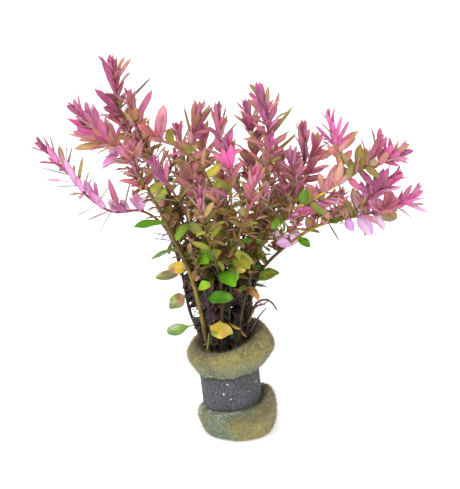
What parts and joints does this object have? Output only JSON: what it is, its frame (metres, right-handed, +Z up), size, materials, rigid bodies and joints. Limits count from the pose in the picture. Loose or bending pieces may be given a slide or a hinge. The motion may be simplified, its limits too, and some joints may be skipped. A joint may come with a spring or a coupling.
{
  "type": "aquarium plant bunch",
  "caption": "Bunch of leafy rotala stems, pink above and green below, standing in a foam plug gripped by a ceramic ring.",
  "frame": {"origin": "on the surface that the bunch stands on, under the middle of the foam plug's flat foot", "axes": "+Z up, -Z out of the flat foot; -Y towards the side that the picture shows; +X to that side's right"},
  "size_m": [0.1878, 0.1171, 0.1844],
  "materials": {
    "foam": "open-celled olive-yellow sponge, matt",
    "ceramic": "unglazed dark grey, gritty, with pale specks",
    "pink": "thin satin leaf, pink to magenta at the tips",
    "bronze": "thin satin leaf, reddish brown to dusty pink",
    "olive": "thin satin leaf, olive to yellow-brown",
    "green": "thin satin leaf, bright green",
    "yellow": "thin satin leaf, yellow-green",
    "tan": "thin withered leaf, orange-brown"
  },
  "bodies": {
    "root": {"foam_plug": "foam", "ceramic_ring": "ceramic", "shoot_long_left": "pink", "shoot_left_front": "pink", "shoot_left_pink": "pink", "shoot_left_tall": "pink", "shoot_left_inner": "bronze", "shoot_left_magenta": "pink", "shoot_arching": "olive", "shoot_mid_left": "bronze", "shoot_mid_low": "bronze", "shoot_mid_tall": "pink", "shoot_mid_pink": "pink", "shoot_right_tall": "pink", "shoot_right_tall_back": "pink", "shoot_right_upright": "bronze", "shoot_right_short": "bronze", "shoot_right_yellow": "olive", "shoot_right_low": "pink", "shoot_back": "bronze", "shoot_back_left": "bronze", "branch_star": "pink", "branch_outer": "pink", "branch_magenta": "pink", "branch_inner": "bronze", "branch_back_right": "bronze", "branch_front": "pink", "branch_front_left": "bronze", "leaf_green_left": "green", "leaf_narrow_left": "green", "leaf_yellow_left": "yellow", "leaf_green_lobe": "green", "leaf_tan_left": "green", "leaf_low_left": "green", "leaf_brown_fold": "tan", "leaf_round_low": "green", "leaf_round_mid": "green", "leaf_bright_mid": "green", "leaf_bright_low": "green", "leaf_mottled_low": "yellow", "leaf_yellow_round": "yellow", "leaf_olive_mid": "yellow", "leaf_olive_small": "yellow", "leaf_brown_right": "tan", "leaf_green_right": "green", "leaf_under_right": "green", "leaf_low_right": "green", "leaf_pale_right": "pink", "leaf_pale_mid": "pink", "leaf_over_left": "green", "leaf_olive_front": "yellow", "leaf_yellow_side": "green", "leaf_green_joint": "green", "leaf_olive_top": "yellow", "leaf_olive_joint": "yellow", "leaf_green_back": "green", "leaf_green_back_left": "green", "leaf_yellow_back": "yellow"}
  },
  "joints": []
}
